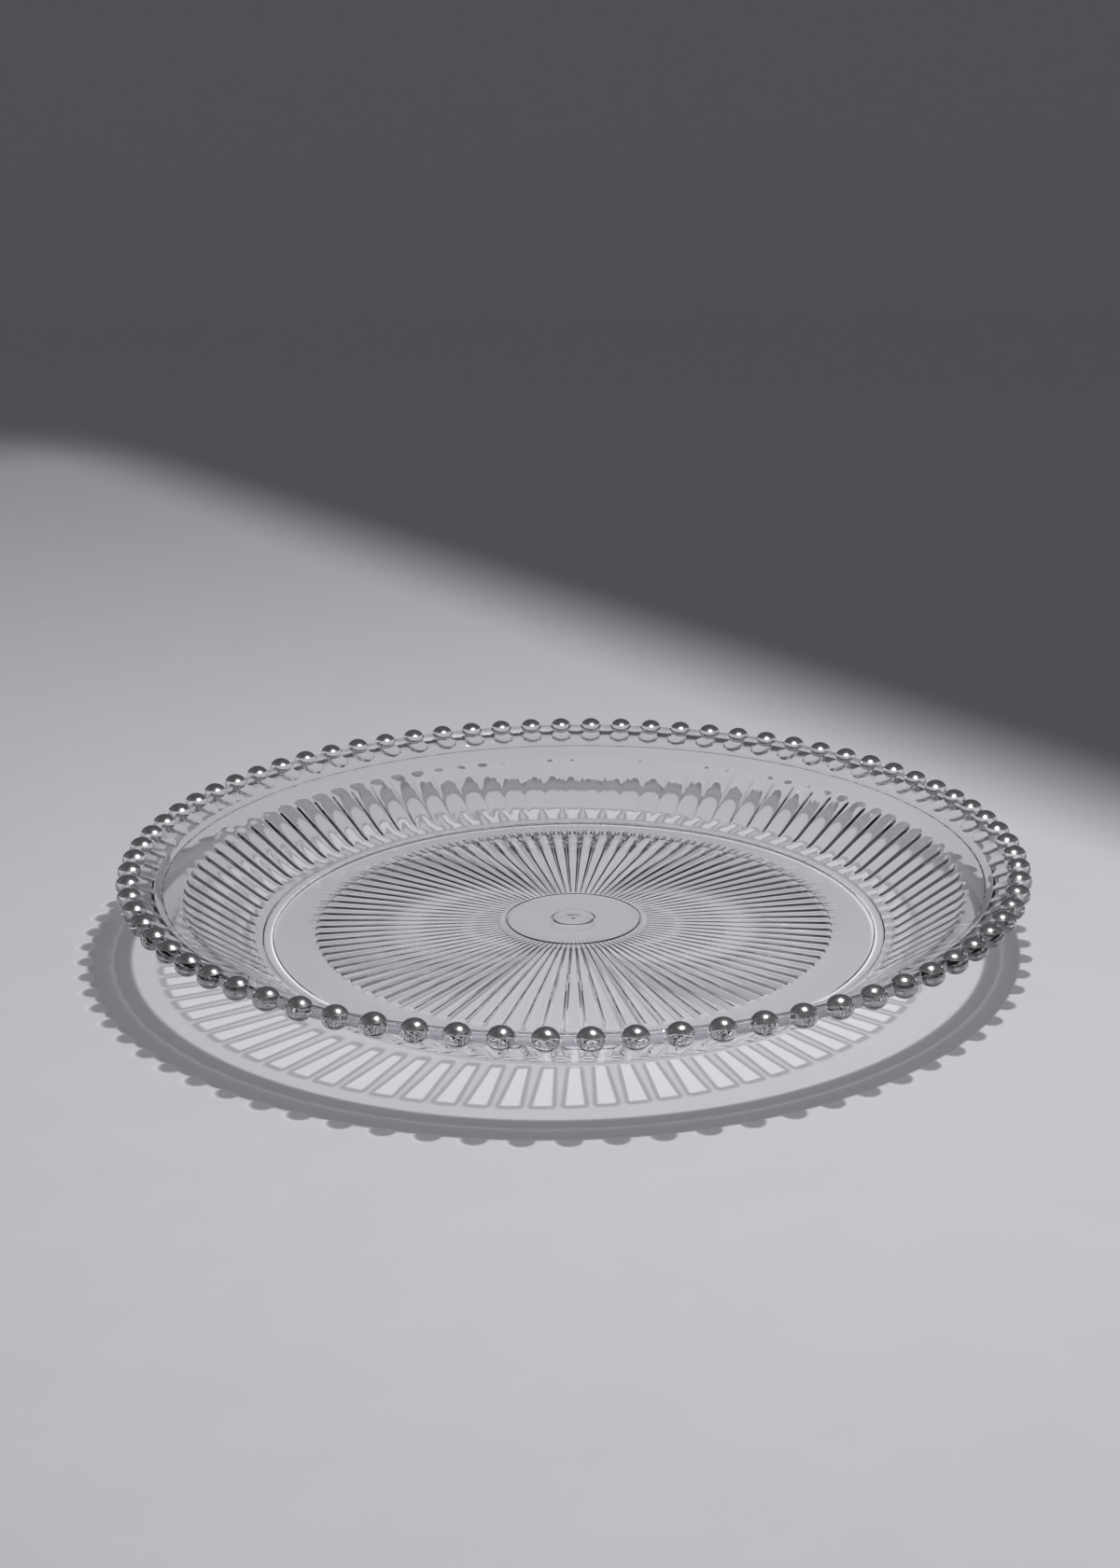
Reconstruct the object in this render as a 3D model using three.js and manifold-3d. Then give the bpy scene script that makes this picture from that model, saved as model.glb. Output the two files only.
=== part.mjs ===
// Glass charger plate: a clear pressed plate with a sunburst well, a fluted wall and a beaded rim.
// Millimetres, +Z up, the foot stands on z = 0 and the plate's axis is the Z axis.
import * as THREE from 'three';
import { mergeVertices } from 'three/addons/utils/BufferGeometryUtils.js';
import Module from 'manifold-3d';

// Middle of the plate
const BUTTON_RADIUS = 7.8;
const BUTTON_HEIGHT = 0.35;
const DISH_RADIUS = 3.2;
const DISH_DEPTH = 0.2;
const NUB_RADIUS = 1;
const NUB_HEIGHT = 0.15;
const DISC_RADIUS = 24.9;
const DISC_HEIGHT = 0.1;
const DISC_BORDER = 2.1;
const GROOVE_WIDTH = 0.9;
const GROOVE_DEPTH = 0.3;

// Flat of the well
const PANEL_WIDTH = 70;
const WELL_BORDER = 13.7;
const BASE_THICKNESS = 2.8;

// Foot underneath
const FOOT_HEIGHT = 1.5;
const FOOT_WIDTH = 4.1;
const FOOT_CHAMFER = 0.3;

// Sloping wall
const WALL_RUN = 31.5;
const WALL_RISE = 19.4;
const WALL_THICKNESS = 2.8;
const WALL_SHOULDER = 1.6;
const COVE_RADIUS = 15;
const COVE_STEPS = 3;

// Rim flange and the edge band
const FLANGE_RUN = 12.8;
const FLANGE_RISE = 6.4;
const FLANGE_THICKNESS = 3.1;
const STEP_FROM_WALL = 7.1;
const STEP_WIDTH = 1.2;
const STEP_THICKNESS = 3.95;
const BAND_RUN = 5.3;
const BAND_THICKNESS = 4.2;
const BAND_CREST_FROM_EDGE = 1.4;
const BAND_FACE_HEIGHT = 3.2;
const BAND_UNDERCUT = 0.8;

// Beads on the edge
const BEAD_COUNT = 76;
const BEAD_HALF_WIDTH = 4.5;
const BEAD_HALF_HEIGHT = 3.9;
const BEAD_CENTRE_PAST_EDGE = 0.2;
const BEAD_CENTRE_BELOW_CREST = 1.55;
const BEAD_TURN_DEGREES = 1.73;
const BEAD_SIDES = 8;
const BEAD_LAYERS = 4;

// Rays: strips parted by valleys that are cut into the underside of the well
const RIB_COUNT = 90;
const RAY_DEPTH_INSIDE = 0.24;
const RAY_DEPTH_OUTSIDE = 0.8;
const RAY_END_INSIDE = 2;
const RAY_END_OUTSIDE = 1.2;
const RAY_BORDER = 1.7;

// Flutes: round fingers that stand out from the underside of the wall and taper inwards
const FLUTE_HEIGHT = 0.95;
const FLUTE_START = 2.2;
const FLUTE_END_INSIDE = 4.5;
const FLUTE_END_OUTSIDE = 3;
const FLUTE_BORDER = 0.8;

// Four steps across each ray or flute, from one valley to the next: share of the depth or the height
const RAY_SHAPE = [1, 0.31, 0, 0.31];
const FLUTE_SHAPE_INSIDE = [0, 0.45, 1, 0.45];
const FLUTE_SHAPE_OUTSIDE = [0, 0.7, 1, 0.7];
const BUTTON_SIDES = 36;

// Radii and heights that follow from the sizes above
const panelInside = DISC_RADIUS + DISC_BORDER;
const panelOutside = panelInside + PANEL_WIDTH;
const wellRadius = panelOutside + WELL_BORDER;
const footRadius = wellRadius + FOOT_WIDTH;
const wallRadius = wellRadius + WALL_RUN;
const bandInside = wallRadius + FLANGE_RUN;
const edgeRadius = bandInside + BAND_RUN;
const underside = FOOT_HEIGHT;
const wellTop = underside + BASE_THICKNESS;
const discTop = wellTop + DISC_HEIGHT;
const buttonTop = discTop + BUTTON_HEIGHT;
const wallTop = wellTop + WALL_RISE;
const flangeSlope = FLANGE_RISE / FLANGE_RUN;
const shoulderRadius = wallRadius + WALL_SHOULDER;
const stepInside = wallRadius + STEP_FROM_WALL;
const stepOutside = stepInside + STEP_WIDTH;
const bandTop = wallTop + FLANGE_RISE;
const crestRadius = edgeRadius - BAND_CREST_FROM_EDGE;
const crestHeight = wallTop + (crestRadius - wallRadius) * flangeSlope;
const beadRadius = edgeRadius + BEAD_CENTRE_PAST_EDGE;
const beadHeight = crestHeight - BEAD_CENTRE_BELOW_CREST;

// The wall's slope is tangent to the cove and ends at the top of the wall
const wallAngle = Math.asin(COVE_RADIUS / Math.hypot(WALL_RUN, WALL_RISE - COVE_RADIUS))
  + Math.atan2(WALL_RISE - COVE_RADIUS, WALL_RUN);
const wallSlope = Math.tan(wallAngle);

// Height of the wall's underside at a radius: the slope moved down by the wall's thickness
function wallUnderside(radius) {
  return wallTop - WALL_THICKNESS / Math.cos(wallAngle) - (wallRadius - radius) * wallSlope;
}

// Height of the flange's top at a radius
function flangeTop(radius) {
  return wallTop + (radius - wallRadius) * flangeSlope;
}

// Radius at which the wall's underside meets the flat underside of the well
const wallFootRadius = wallRadius - (wallUnderside(wallRadius) - underside) / wallSlope;

// A plain ring has one corner for each rib valley
function plainRing(radius, height, sides = RIB_COUNT, turn = 0) {
  const points = [];
  for (let i = 0; i < sides; i += 1) {
    const angle = turn + (2 * Math.PI * i) / sides;
    points.push([radius * Math.cos(angle), radius * Math.sin(angle), height]);
  }
  return points;
}

// A ring of the edge band has one corner midway between each two beads
const beadTurn = THREE.MathUtils.degToRad(BEAD_TURN_DEGREES);
function bandRing(radius, height) {
  return plainRing(radius, height, BEAD_COUNT, beadTurn - Math.PI / BEAD_COUNT);
}

// A ribbed ring steps out of the underside along its normal, or into it where the rib height is negative
function ribbedRing(radius, height, ribHeight, shape, slopeAngle = 0) {
  const steps = shape.length;
  const sides = RIB_COUNT * steps;
  const points = [];
  for (let i = 0; i < sides; i += 1) {
    const angle = (2 * Math.PI * i) / sides;
    const out = ribHeight * shape[i % steps];
    const r = radius + out * Math.sin(slopeAngle);
    points.push([r * Math.cos(angle), r * Math.sin(angle), height - out * Math.cos(slopeAngle)]);
  }
  return points;
}

// Triangles between two rings, stepping along whichever ring has its next side first
function stitch(triangles, lower, upper) {
  let i = 0;
  let j = 0;
  while (i < lower.length || j < upper.length) {
    const lowerFirst = (i + 0.5) / lower.length <= (j + 0.5) / upper.length;
    const here = lower[i % lower.length];
    const above = upper[j % upper.length];
    if (i < lower.length && (lowerFirst || j === upper.length)) {
      i += 1;
      triangles.push([here, lower[i % lower.length], above]);
    } else {
      j += 1;
      triangles.push([here, upper[j % upper.length], above]);
    }
  }
}

// Closed solid from rings that run counter-clockwise round its section, seen with the axis on the left
function solidFromRings(rings) {
  const triangles = [];
  for (let i = 0; i < rings.length; i += 1) {
    stitch(triangles, rings[i], rings[(i + 1) % rings.length]);
  }
  return geometryFromTriangles(triangles);
}

// Closed solid from rings that start and end at a point on the axis
function solidFromAxis(bottomHeight, rings, topHeight) {
  const triangles = [];
  const bottom = [0, 0, bottomHeight];
  const top = [0, 0, topHeight];
  const first = rings[0];
  const last = rings[rings.length - 1];
  for (let i = 0; i < first.length; i += 1) {
    triangles.push([bottom, first[(i + 1) % first.length], first[i]]);
  }
  for (let i = 0; i + 1 < rings.length; i += 1) {
    stitch(triangles, rings[i], rings[i + 1]);
  }
  for (let i = 0; i < last.length; i += 1) {
    triangles.push([top, last[i], last[(i + 1) % last.length]]);
  }
  return geometryFromTriangles(triangles);
}

function geometryFromTriangles(triangles) {
  const geometry = new THREE.BufferGeometry();
  geometry.setAttribute('position', new THREE.Float32BufferAttribute(triangles.flat(2), 3));
  return mergeVertices(geometry, 1e-5);
}

// Centre button: lies flat on the disc, with a shallow dish on top and a small nub in the dish
const buttonEdge = BUTTON_RADIUS - GROOVE_WIDTH / 2;
const dishBottom = buttonTop - DISH_DEPTH;
const centreButton = solidFromAxis(
  discTop,
  [
    plainRing(buttonEdge, discTop, BUTTON_SIDES),
    plainRing(buttonEdge, buttonTop, BUTTON_SIDES),
    plainRing(DISH_RADIUS, buttonTop, BUTTON_SIDES),
    plainRing(NUB_RADIUS, dishBottom, BUTTON_SIDES),
  ],
  dishBottom + NUB_HEIGHT,
);

// Three rings of a fine groove in the top, between two levels
function groove(radius, outerLevel, innerLevel) {
  return [
    plainRing(radius + GROOVE_WIDTH / 2, outerLevel),
    plainRing(radius, outerLevel - GROOVE_DEPTH),
    plainRing(radius - GROOVE_WIDTH / 2, innerLevel),
  ];
}

// Centre disc: a low disc with a fine groove round it, and another round the button
const centreDisc = solidFromAxis(
  underside,
  [
    plainRing(panelInside, underside),
    plainRing(panelInside, wellTop),
    ...groove(DISC_RADIUS, wellTop, discTop),
    ...groove(BUTTON_RADIUS, discTop, discTop),
  ],
  discTop,
);

// Sunburst panel: flat on top, with rays underneath whose valleys grow wider and deeper outwards
const rayInside = panelInside + RAY_END_INSIDE;
const rayEnd = panelOutside - RAY_BORDER;
const rayOutside = rayEnd - RAY_END_OUTSIDE;
const sunburstPanel = solidFromRings([
  plainRing(panelInside, underside),
  ribbedRing(rayInside, underside, -RAY_DEPTH_INSIDE, RAY_SHAPE),
  ribbedRing(rayOutside, underside, -RAY_DEPTH_OUTSIDE, RAY_SHAPE),
  plainRing(rayEnd, underside),
  plainRing(panelOutside, underside),
  plainRing(panelOutside, wellTop),
  plainRing(panelInside, wellTop),
]);

// Well ring: the plain flat between the rays and the wall
const wellRing = solidFromRings([
  plainRing(panelOutside, underside),
  plainRing(wellRadius, underside),
  plainRing(wellRadius, wellTop),
  plainRing(panelOutside, wellTop),
]);

// Foot ring: stands on the table and carries the foot of the wall
const footRing = solidFromRings([
  plainRing(wellRadius + FOOT_CHAMFER, 0),
  plainRing(footRadius - FOOT_CHAMFER, 0),
  plainRing(footRadius, FOOT_CHAMFER),
  plainRing(footRadius, underside),
  plainRing(wellRadius, underside),
  plainRing(wellRadius, FOOT_CHAMFER),
]);

// Fluted wall: a cove on top that runs into a straight slope, with flutes underneath
const fluteFoot = wallFootRadius + FLUTE_START;
const fluteInside = fluteFoot + FLUTE_END_INSIDE;
const fluteTop = shoulderRadius - FLUTE_BORDER;
const fluteOutside = fluteTop - FLUTE_END_OUTSIDE;
const coveRings = [];
for (let i = COVE_STEPS; i >= 0; i -= 1) {
  const angle = (wallAngle * i) / COVE_STEPS;
  const radius = wellRadius + COVE_RADIUS * Math.sin(angle);
  coveRings.push(plainRing(radius, wellTop + COVE_RADIUS * (1 - Math.cos(angle))));
}
const flutedWall = solidFromRings([
  plainRing(wellRadius, underside),
  plainRing(wallFootRadius, underside),
  plainRing(fluteFoot, wallUnderside(fluteFoot)),
  ribbedRing(fluteInside, wallUnderside(fluteInside), FLUTE_HEIGHT, FLUTE_SHAPE_INSIDE, wallAngle),
  ribbedRing(fluteOutside, wallUnderside(fluteOutside), FLUTE_HEIGHT, FLUTE_SHAPE_OUTSIDE, wallAngle),
  plainRing(fluteTop, wallUnderside(fluteTop)),
  plainRing(shoulderRadius, flangeTop(shoulderRadius) - FLANGE_THICKNESS),
  plainRing(shoulderRadius, flangeTop(shoulderRadius)),
  plainRing(wallRadius, wallTop),
  ...coveRings,
]);

// Rim flange: a smooth sloping rim, with a low step underneath where it thickens into the band
const bandUnderside = bandTop - BAND_THICKNESS;
const rimFlange = solidFromRings([
  plainRing(shoulderRadius, flangeTop(shoulderRadius) - FLANGE_THICKNESS),
  plainRing(stepInside, flangeTop(stepInside) - FLANGE_THICKNESS),
  plainRing(stepOutside, flangeTop(stepOutside) - STEP_THICKNESS),
  bandRing(bandInside, bandUnderside),
  bandRing(bandInside, bandTop),
  plainRing(shoulderRadius, flangeTop(shoulderRadius)),
]);

// Edge band: carries on from the flange and ends in an upright outer face
const faceTop = crestHeight - BAND_UNDERCUT;
const edgeBand = solidFromRings([
  bandRing(bandInside, bandUnderside),
  bandRing(edgeRadius, faceTop - BAND_FACE_HEIGHT),
  bandRing(edgeRadius, faceTop),
  bandRing(crestRadius, crestHeight),
  bandRing(bandInside, bandTop),
]);

// One bead, with a corner on its outermost and its innermost point
function bead(index) {
  const sphere = new THREE.SphereGeometry(1, BEAD_SIDES, BEAD_LAYERS);
  sphere.deleteAttribute('normal');
  sphere.deleteAttribute('uv');
  const angle = beadTurn + (2 * Math.PI * index) / BEAD_COUNT;
  sphere.rotateX(Math.PI / 2);
  sphere.scale(BEAD_HALF_WIDTH, BEAD_HALF_WIDTH, BEAD_HALF_HEIGHT);
  sphere.translate(beadRadius, 0, beadHeight);
  sphere.rotateZ(angle);
  return mergeVertices(sphere, 1e-5);
}

// Bead rim: the edge band and its beads joined into one body
const wasm = await Module();
wasm.setup();

function toManifold(geometry) {
  const mesh = new wasm.Mesh({
    numProp: 3,
    vertProperties: new Float32Array(geometry.attributes.position.array),
    triVerts: new Uint32Array(geometry.index.array),
  });
  return new wasm.Manifold(mesh);
}

function fromManifold(solid) {
  const mesh = solid.getMesh();
  const geometry = new THREE.BufferGeometry();
  geometry.setAttribute('position', new THREE.Float32BufferAttribute(mesh.vertProperties, 3));
  geometry.setIndex(new THREE.Uint32BufferAttribute(mesh.triVerts, 1));
  return geometry;
}

let beadedBand = toManifold(edgeBand);
for (let i = 0; i < BEAD_COUNT; i += 1) {
  beadedBand = beadedBand.add(toManifold(bead(i)));
}
const beadRim = fromManifold(beadedBand);

// Clear glass for every piece, a shade apart so that each piece can be told from the next
const plate = new THREE.Group();
plate.name = 'glass_charger_plate';

function addPiece(name, geometry, colour) {
  geometry.computeVertexNormals();
  const material = new THREE.MeshStandardMaterial({ color: colour, roughness: 0.08, metalness: 0 });
  const piece = new THREE.Mesh(geometry, material);
  piece.name = name;
  plate.add(piece);
}

addPiece('centre_button', centreButton, 0xe6eef0);
addPiece('centre_disc', centreDisc, 0xd3dfe3);
addPiece('sunburst_panel', sunburstPanel, 0xdce7ea);
addPiece('well_ring', wellRing, 0xcddbe0);
addPiece('foot_ring', footRing, 0xb9c9cf);
addPiece('fluted_wall', flutedWall, 0xd8e4e8);
addPiece('rim_flange', rimFlange, 0xc9d8dd);
addPiece('bead_rim', beadRim, 0xd5d9dc);

export default plate;
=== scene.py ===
# %% [markdown]
# # A pressed-glass charger plate with silvered beads
# A charger is the wide plate that stays on the table under a dinner plate. This one is a single
# moulding of clear glass: a flat well with rays, a sloping fluted wall, a smooth rim, and a string of
# beads round the edge whose tops are silvered. This lesson loads the measured solids as a fixed frame,
# makes one continuous glass body over them, adds the silver, and sets the light and the camera.

# %% Load the frame
import math

import bpy
from mathutils import Matrix, Vector


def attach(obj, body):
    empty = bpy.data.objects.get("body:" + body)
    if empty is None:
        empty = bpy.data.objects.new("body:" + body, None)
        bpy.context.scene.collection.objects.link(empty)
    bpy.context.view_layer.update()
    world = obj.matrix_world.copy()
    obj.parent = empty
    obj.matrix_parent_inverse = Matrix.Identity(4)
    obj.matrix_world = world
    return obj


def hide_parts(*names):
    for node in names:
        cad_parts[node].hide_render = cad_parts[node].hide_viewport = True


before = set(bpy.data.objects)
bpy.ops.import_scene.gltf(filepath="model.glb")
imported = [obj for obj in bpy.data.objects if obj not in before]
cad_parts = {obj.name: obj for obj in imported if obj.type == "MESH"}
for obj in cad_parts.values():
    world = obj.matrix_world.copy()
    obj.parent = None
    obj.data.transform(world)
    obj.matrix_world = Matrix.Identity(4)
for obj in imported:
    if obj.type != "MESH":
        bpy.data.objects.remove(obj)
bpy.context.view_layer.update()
scene = bpy.context.scene
MM = 0.001
print("solids:", ", ".join(sorted(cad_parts)))

# %% [markdown]
# ## The camera
# The camera stands low in front of the plate and looks about 18 degrees down. Its place was worked out
# from the rings of the plate: circles that share one centre turn into ellipses, and only one camera
# makes all of them at once. A camera looks along its own -Z axis, so the three directions below
# (right, up and back) are simply the columns of its turning matrix.

# %% Camera
CAMERA_PLACE = Vector((0.0, -0.70737, 0.28919))
CAMERA_PITCH = 0.31747
CAMERA_YAW = -0.0063
CAMERA_ROLL = 0.01024
CAMERA_LENS = 47.02
SENSOR_WIDTH = 36


def camera_turn(pitch, yaw, roll):
    """Turning matrix of a camera that looks down by pitch and leans by roll."""
    ahead = Vector((math.sin(yaw) * math.cos(pitch), math.cos(yaw) * math.cos(pitch), -math.sin(pitch)))
    right = ahead.cross(Vector((0, 0, 1))).normalized()
    down = ahead.cross(right)
    leaned_right = right * math.cos(roll) + down * math.sin(roll)
    leaned_down = down * math.cos(roll) - right * math.sin(roll)
    return Matrix((leaned_right, -leaned_down, -ahead)).transposed()


camera_data = bpy.data.cameras.new("camera")
camera_data.sensor_width = SENSOR_WIDTH
camera_data.lens = CAMERA_LENS
camera = bpy.data.objects.new("camera", camera_data)
camera.matrix_world = Matrix.Translation(CAMERA_PLACE) @ camera_turn(
    CAMERA_PITCH, CAMERA_YAW, CAMERA_ROLL
).to_4x4()
scene.collection.objects.link(camera)
scene.camera = camera
print("camera at", tuple(round(v, 3) for v in CAMERA_PLACE), "lens", CAMERA_LENS)

# %% [markdown]
# ## Small helpers for node trees
# Geometry and materials are both made of nodes here. One helper adds a node and fills its inputs,
# either with a value or with a link from another node, and another adds one step of arithmetic.

# %% Node helpers


def add_node(tree, kind, inputs=None, **settings):
    """Adds a node to a tree, with its settings, and sets or links its inputs."""
    node = tree.nodes.new(kind)
    for name, value in settings.items():
        setattr(node, name, value)
    for key, value in (inputs or {}).items():
        if isinstance(value, bpy.types.NodeSocket):
            tree.links.new(value, node.inputs[key])
        else:
            node.inputs[key].default_value = value
    return node


def calculate(tree, operation, *values, clamp=False):
    """One step of arithmetic on numbers or sockets."""
    node = add_node(tree, "ShaderNodeMath", dict(enumerate(values)), operation=operation, use_clamp=clamp)
    return node.outputs[0]


def sum_of_squares(tree, first, second):
    """Two numbers squared and added."""
    return calculate(tree, "MULTIPLY_ADD", first, first, calculate(tree, "MULTIPLY", second, second))


def add_inputs(tree, sockets):
    """Named inputs of a geometry tree: name, kind and first value."""
    tree.interface.new_socket("Geometry", in_out="INPUT", socket_type="NodeSocketGeometry")
    for name, kind, value in sockets:
        socket = tree.interface.new_socket(name, in_out="INPUT", socket_type=kind)
        socket.default_value = value
    tree.interface.new_socket("Geometry", in_out="OUTPUT", socket_type="NodeSocketGeometry")


def set_inputs(modifier, sockets):
    """Sets a modifier's inputs by the identifiers of their sockets."""
    values = {name: value for name, kind, value in sockets}
    for item in modifier.node_group.interface.items_tree:
        if item.item_type == "SOCKET" and item.in_out == "INPUT" and item.name in values:
            modifier[item.identifier] = values[item.name]


def plain_mesh_object(source, name):
    """Turns an object with a live geometry tree into a plain mesh object, and removes the source."""
    graph = bpy.context.evaluated_depsgraph_get()
    mesh = bpy.data.meshes.new_from_object(source.evaluated_get(graph), depsgraph=graph)
    piece = bpy.data.objects.new(name, mesh)
    scene.collection.objects.link(piece)
    bpy.data.objects.remove(source)
    mesh.name = name
    return piece


print("helpers ready")

# %% [markdown]
# ## Sizes
# All sizes are in millimetres, and follow the solids. The rays under the well and the flutes under the
# wall share one pitch, 90 round the plate. The rays are soft strips parted by valleys that are cut into
# the underside. The flutes are the opposite: fingers that stand out from the underside, round across,
# with round tips, and narrower towards the middle of the plate.

# %% Sizes of the plate
RIB_COUNT = 90
STEPS_PER_RIB = 10
CROWDING = 1.45
FOOT_HEIGHT = 1.5
WELL_TOP = 4.3
DISC_RADIUS = 24.9
DISC_TOP = 4.4
GROOVE_HALF = 0.45
GROOVE_DEPTH = 0.3
BUTTON_RADIUS = 7.8
BUTTON_TOP = 4.75
DISH_RADIUS = 3.2
DISH_DEPTH = 0.2
NUB_TOP = 4.7
RAY_START, RAY_END = 27.0, 95.3
RAY_ENDS = (2.0, 1.2)
RAY_DEPTHS = (0.24, 0.8)
RAY_BEND = 0.735
RAY_SHARE = 0.4
WELL_RADIUS = 110.7
FOOT_RADIUS = 114.8
WALL_RADIUS, WALL_TOP = 142.2, 23.7
WALL_THICKNESS = 2.8
COVE_RADIUS = 15.0
FLUTE_START, FLUTE_END = 117.9, 143.0
FLUTE_TIPS = (4.5, 3.0)
FLUTE_HEIGHT = 0.95
FLUTE_LIMITS = (0.35, 0.46)
FLANGE_SLOPE = 0.5
FLANGE_THICKNESS = 3.1
EDGE_RADIUS = 160.3
CREST_RADIUS = 158.9
print(RIB_COUNT, "ribs, edge at", EDGE_RADIUS, "mm")

# %% [markdown]
# ## The beads' sizes
# The beads are slightly flattened balls on a circle near the edge. The glass is kept a hair smaller than
# the measured bead, so that the silver on its top ends up exactly at the measured size. Under the rim
# each bead runs inwards into a low lobe that lies along the slope and breaks up the light.

# %% Bead and lobe values
BEAD_COUNT = 76
BEAD_CIRCLE = 160.5
BEAD_CENTRE = 30.5
BEAD_TURN = math.radians(1.73)
BEAD_HALF_WIDTH = 4.5
BEAD_HALF_HEIGHT = 3.9
SILVER_THICKNESS = 0.04
LOBE_PLACE = (155.6, 0.0, 27.7)
LOBE_SIZE = (5.4, 4.6, 1.7)
LOBE_LEAN = -math.atan(FLANGE_SLOPE)
print(BEAD_COUNT, "beads on a circle of", 2 * BEAD_CIRCLE, "mm")

# %% [markdown]
# ## Glass
# Clear pressed glass is nearly colourless, bends light by about 1.5, and is never perfectly flat: the
# mould leaves a slow waviness, and handling leaves a faint haze. The waviness is a bump from a large
# soft noise, and the haze is a noise that lifts the roughness a little in patches. Transmission stays
# a plain 1, so that other renderers read the same glass. The material first works out where a point is:
# its distance from the plate's axis, and from the nearest bead.

# %% Glass coordinates


def noise(tree, coordinates, scale, detail=2.0, roughness=0.5):
    """A noise pattern on the given coordinates."""
    return add_node(
        tree,
        "ShaderNodeTexNoise",
        {"Vector": coordinates, "Scale": scale, "Detail": detail, "Roughness": roughness},
    ).outputs["Fac"]


def spread(tree, value, low, high, new_low, new_high):
    """Maps a value from one range to another, and holds it inside."""
    return add_node(
        tree,
        "ShaderNodeMapRange",
        {0: value, 1: low, 2: high, 3: new_low, 4: new_high},
    ).outputs[0]


def new_material(name):
    """A material with an empty tree, its object coordinates and its output."""
    material = bpy.data.materials.new(name)
    material.use_nodes = True
    tree = material.node_tree
    tree.nodes.clear()
    coordinates = add_node(tree, "ShaderNodeTexCoord").outputs["Object"]
    output = add_node(tree, "ShaderNodeOutputMaterial")
    return material, tree, coordinates, output


glass, tree, place, output = new_material("clear_pressed_glass")
spot = add_node(tree, "ShaderNodeSeparateXYZ", {0: place}).outputs
square_from_axis = sum_of_squares(tree, spot[0], spot[1])
from_axis = calculate(tree, "DIVIDE", calculate(tree, "SQRT", square_from_axis), MM)
turn = calculate(tree, "ARCTAN2", spot[1], spot[0])


def off_middle(angle, count, first):
    """How far an angle is from the nearest of some things round the plate, as a share of their pitch."""
    steps = calculate(tree, "MULTIPLY_ADD", angle, count / math.tau, 0.5 - first * count / math.tau)
    return calculate(tree, "ABSOLUTE", calculate(tree, "SUBTRACT", calculate(tree, "FRACT", steps), 0.5))


def where(mask, without, within):
    """Chooses between two values by a mask."""
    return add_node(tree, "ShaderNodeMix", {0: mask, 2: without, 3: within}).outputs[0]


bead_pitch = math.tau * BEAD_CIRCLE / BEAD_COUNT
beside_bead = calculate(tree, "MULTIPLY", off_middle(turn, BEAD_COUNT, BEAD_TURN), bead_pitch)
past_bead = calculate(tree, "SUBTRACT", from_axis, BEAD_CIRCLE)
square_from_bead = sum_of_squares(tree, beside_bead, past_bead)
from_bead = calculate(tree, "DIVIDE", calculate(tree, "SQRT", square_from_bead), BEAD_HALF_WIDTH)
print("glass coordinates ready")

# %% [markdown]
# ## The look of the glass
# Glass looks bluish along its edge, where the eye looks a long way through it, and the mould's seam at
# the edge is a little dull. So the narrow edge face between the beads gets a cool tint and some
# roughness. The rest is clear.

# %% Glass shader
EDGE_BLEND = (EDGE_RADIUS - 0.5, EDGE_RADIUS - 0.2)
BESIDE_BEAD = (1.0, 1.04)
CLEAR_TINT = (0.98, 0.985, 0.985, 1.0)
EDGE_TINT = (0.84, 0.88, 0.96, 1.0)
EDGE_ROUGHNESS = 0.5
HAZE_SCALE, WAVE_SCALE = 34.0, 55.0
HAZE_LEVELS = (0.52, 0.75)
MOST_HAZE = 0.03
edge_face = calculate(
    tree,
    "MULTIPLY",
    spread(tree, from_axis, *EDGE_BLEND, 0.0, 1.0),
    spread(tree, from_bead, *BESIDE_BEAD, 0.0, 1.0),
)
tint = add_node(
    tree,
    "ShaderNodeMix",
    {0: edge_face, 6: CLEAR_TINT, 7: EDGE_TINT},
    data_type="RGBA",
).outputs[2]
haze = spread(tree, noise(tree, place, HAZE_SCALE, detail=4.0), *HAZE_LEVELS, 0.0, MOST_HAZE)
waves = noise(tree, place, WAVE_SCALE, detail=1.0)
waviness = add_node(tree, "ShaderNodeBump", {"Strength": 0.05, "Distance": 0.0006, "Height": waves})
glass_shader = add_node(
    tree,
    "ShaderNodeBsdfPrincipled",
    {
        "Base Color": tint,
        "Roughness": calculate(tree, "MULTIPLY_ADD", edge_face, EDGE_ROUGHNESS, haze),
        "IOR": 1.5,
        "Transmission Weight": 1.0,
        "Normal": waviness.outputs["Normal"],
    },
)
print("material:", glass.name)

# %% [markdown]
# ## Light through the glass
# Light from a lamp bends in the ribs and draws the plate's pattern on the table: bright under the middle
# of each rib, dark along its sides. Following every bent path is slow and noisy, so the material gives
# lamp rays a straight way through, dimmed or brightened by the place where they cross the glass. Light
# Path tells such rays from the ones that the camera sends, which still see real, bending glass. The
# bars that the flutes draw stay straight on a real table, so their pattern is worked out where the
# light lands, below the point where it crosses the glass.

# %% Where the light lands
LAMP_PLACE = Vector((0.11, -0.088, 0.49))
drop = calculate(tree, "DIVIDE", spot[2], calculate(tree, "SUBTRACT", LAMP_PLACE.z, spot[2]))
landing = []
for axis in (0, 1):
    from_lamp = calculate(tree, "SUBTRACT", spot[axis], LAMP_PLACE[axis])
    landing.append(calculate(tree, "MULTIPLY_ADD", from_lamp, drop, spot[axis]))
landing_turn = calculate(tree, "ARCTAN2", landing[1], landing[0])
BAR_MIDDLE = (-10.5, -3.7)
bar_offset = [
    calculate(tree, "MULTIPLY_ADD", landing[axis], 1 / MM, -BAR_MIDDLE[axis]) for axis in (0, 1)
]
bar_radius = calculate(tree, "SQRT", sum_of_squares(tree, *bar_offset))
print("lamp light lands below, lamp at", tuple(LAMP_PLACE))

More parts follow.
